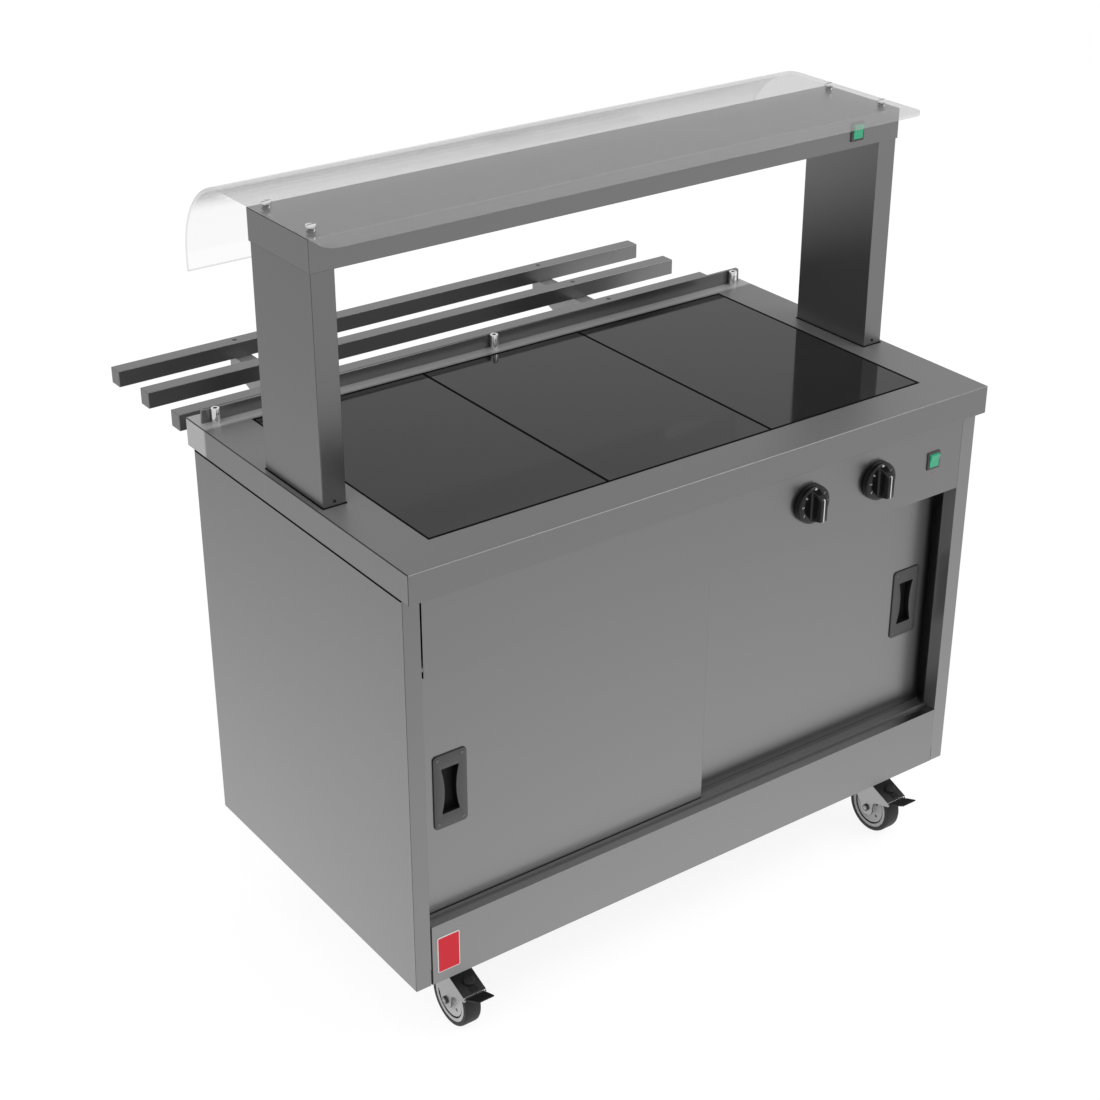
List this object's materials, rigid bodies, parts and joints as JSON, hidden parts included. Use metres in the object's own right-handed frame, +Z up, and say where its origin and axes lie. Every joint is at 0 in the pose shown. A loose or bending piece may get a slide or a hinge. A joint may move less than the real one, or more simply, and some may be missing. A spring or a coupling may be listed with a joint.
{
  "type": "hot cupboard",
  "caption": "Mobile stainless steel hot cupboard with sliding doors, glass hot tiles, heated gantry, curved glass guard and tray slide, on braked castors.",
  "frame": {"origin": "on the floor, in the middle of the whole object's plan", "axes": "+X along the front to the right, -Y towards the server at the doors, +Y towards the tray slide, +Z up"},
  "size_m": [1.165, 1.001, 1.336],
  "materials": {
    "frame_steel": "satin folded steel",
    "panel_steel": "finely brushed stainless steel",
    "liner_steel": "plain stainless sheet",
    "worktop_steel": "finely brushed stainless steel",
    "tile_glass": "polished dark ceramic glass",
    "heater_plate": "plain aluminium",
    "element_sheath": "heat-stained sheathed element",
    "lamp_quartz": "quartz tube with white ceramic ends",
    "clear_glass": "clear toughened glass",
    "bright_chrome": "bright chrome",
    "black_plastic": "fine-textured black moulding",
    "gloss_black": "glossy black moulding",
    "green_rocker": "translucent green, lit from behind",
    "control_body": "heat-resistant moulding",
    "badge_enamel": "blank enamelled plate",
    "castor_steel": "bright zinc on pressed steel",
    "hub_plastic": "pale grey moulded hub",
    "grey_tyre": "smooth dark rubber"
  },
  "bodies": {
    "cabinet": {"base_frame": "frame_steel", "tray_brackets": "frame_steel", "side_panel_left": "panel_steel", "side_panel_right": "panel_steel", "back_panel": "panel_steel", "plinth": "panel_steel", "fascia": "panel_steel", "inner_liner": "liner_steel", "shelf": "liner_steel", "tile_tray": "liner_steel", "door_track_top": "liner_steel", "door_track_bottom": "liner_steel", "worktop": "worktop_steel", "gantry_post_left": "worktop_steel", "gantry_post_right": "worktop_steel", "gantry_hood": "worktop_steel", "plate_rail": "worktop_steel", "tray_rail_inner": "worktop_steel", "tray_rail_middle": "worktop_steel", "tray_rail_outer": "worktop_steel", "hot_tile_left": "tile_glass", "hot_tile_middle": "tile_glass", "hot_tile_right": "tile_glass", "tile_heaters": "heater_plate", "lamp_reflector": "heater_plate", "cupboard_element": "element_sheath", "heat_lamps": "lamp_quartz", "guard_glass": "clear_glass", "guard_caps": "bright_chrome", "plate_rail_posts": "bright_chrome", "lamp_guard": "bright_chrome", "bolts_and_screws": "bright_chrome", "fascia_switch": "black_plastic", "gantry_switch": "black_plastic", "cable_gland": "black_plastic", "thermostats": "control_body", "badge_plate": "badge_enamel", "castor_plates": "castor_steel"},
    "left_door": {"door_left": "panel_steel", "door_left_handle": "black_plastic"},
    "right_door": {"door_right": "panel_steel", "door_right_handle": "black_plastic"},
    "left_dial": {"dial_left": "gloss_black"},
    "right_dial": {"dial_right": "gloss_black"},
    "fascia_switch_rocker": {"fascia_rocker": "green_rocker"},
    "gantry_switch_rocker": {"gantry_rocker": "green_rocker"},
    "castor_front_left": {"fork_front_left": "castor_steel"},
    "wheel_front_left": {"hub_front_left": "hub_plastic", "tyre_front_left": "grey_tyre"},
    "castor_front_right": {"fork_front_right": "castor_steel"},
    "wheel_front_right": {"hub_front_right": "hub_plastic", "tyre_front_right": "grey_tyre"},
    "castor_rear_left": {"fork_rear_left": "castor_steel"},
    "wheel_rear_left": {"hub_rear_left": "hub_plastic", "tyre_rear_left": "grey_tyre"},
    "castor_rear_right": {"fork_rear_right": "castor_steel"},
    "wheel_rear_right": {"hub_rear_right": "hub_plastic", "tyre_rear_right": "grey_tyre"},
    "brake_left": {"brake_pedal_left": "black_plastic"},
    "brake_right": {"brake_pedal_right": "black_plastic"}
  },
  "joints": [
    {"name": "left_door_slide", "type": "slide", "parent": "cabinet", "child": "left_door", "axis": [1, 0, 0], "range_m": [0, 0.534]},
    {"name": "right_door_slide", "type": "slide", "parent": "cabinet", "child": "right_door", "axis": [-1, 0, 0], "range_m": [0, 0.534]},
    {"name": "left_dial_turn", "type": "hinge", "parent": "cabinet", "child": "left_dial", "pos_m": [0.204, -0.4655, 0.78], "axis": [0, 1, 0], "range_deg": [0, 270]},
    {"name": "right_dial_turn", "type": "hinge", "parent": "cabinet", "child": "right_dial", "pos_m": [0.354, -0.4655, 0.78], "axis": [0, 1, 0], "range_deg": [0, 270]},
    {"name": "fascia_switch_press", "type": "hinge", "parent": "cabinet", "child": "fascia_switch_rocker", "pos_m": [0.486, -0.4635, 0.78], "axis": [-1, 0, 0], "range_deg": [0, 16]},
    {"name": "gantry_switch_press", "type": "hinge", "parent": "cabinet", "child": "gantry_switch_rocker", "pos_m": [0.478, -0.2335, 1.3], "axis": [-1, 0, 0], "range_deg": [0, 16]},
    {"name": "swivel_front_left", "type": "hinge", "parent": "cabinet", "child": "castor_front_left", "pos_m": [-0.472, -0.3775, 0.142], "axis": [0, 0, 1], "continuous": true},
    {"name": "roll_front_left", "type": "hinge", "parent": "castor_front_left", "child": "wheel_front_left", "pos_m": [-0.472, -0.4125, 0.05], "axis": [1, 0, 0], "continuous": true},
    {"name": "swivel_front_right", "type": "hinge", "parent": "cabinet", "child": "castor_front_right", "pos_m": [0.472, -0.3775, 0.142], "axis": [0, 0, 1], "continuous": true},
    {"name": "roll_front_right", "type": "hinge", "parent": "castor_front_right", "child": "wheel_front_right", "pos_m": [0.472, -0.4125, 0.05], "axis": [1, 0, 0], "continuous": true},
    {"name": "swivel_rear_left", "type": "hinge", "parent": "cabinet", "child": "castor_rear_left", "pos_m": [-0.472, 0.0865, 0.142], "axis": [0, 0, 1], "continuous": true},
    {"name": "roll_rear_left", "type": "hinge", "parent": "castor_rear_left", "child": "wheel_rear_left", "pos_m": [-0.472, 0.0515, 0.05], "axis": [1, 0, 0], "continuous": true},
    {"name": "swivel_rear_right", "type": "hinge", "parent": "cabinet", "child": "castor_rear_right", "pos_m": [0.472, 0.0865, 0.142], "axis": [0, 0, 1], "continuous": true},
    {"name": "roll_rear_right", "type": "hinge", "parent": "castor_rear_right", "child": "wheel_rear_right", "pos_m": [0.472, 0.0515, 0.05], "axis": [1, 0, 0], "continuous": true},
    {"name": "brake_left_press", "type": "hinge", "parent": "castor_front_left", "child": "brake_left", "pos_m": [-0.472, -0.4595, 0.085], "axis": [1, 0, 0], "range_deg": [0, 20]},
    {"name": "brake_right_press", "type": "hinge", "parent": "castor_front_right", "child": "brake_right", "pos_m": [0.472, -0.4595, 0.085], "axis": [1, 0, 0], "range_deg": [0, 20]}
  ]
}
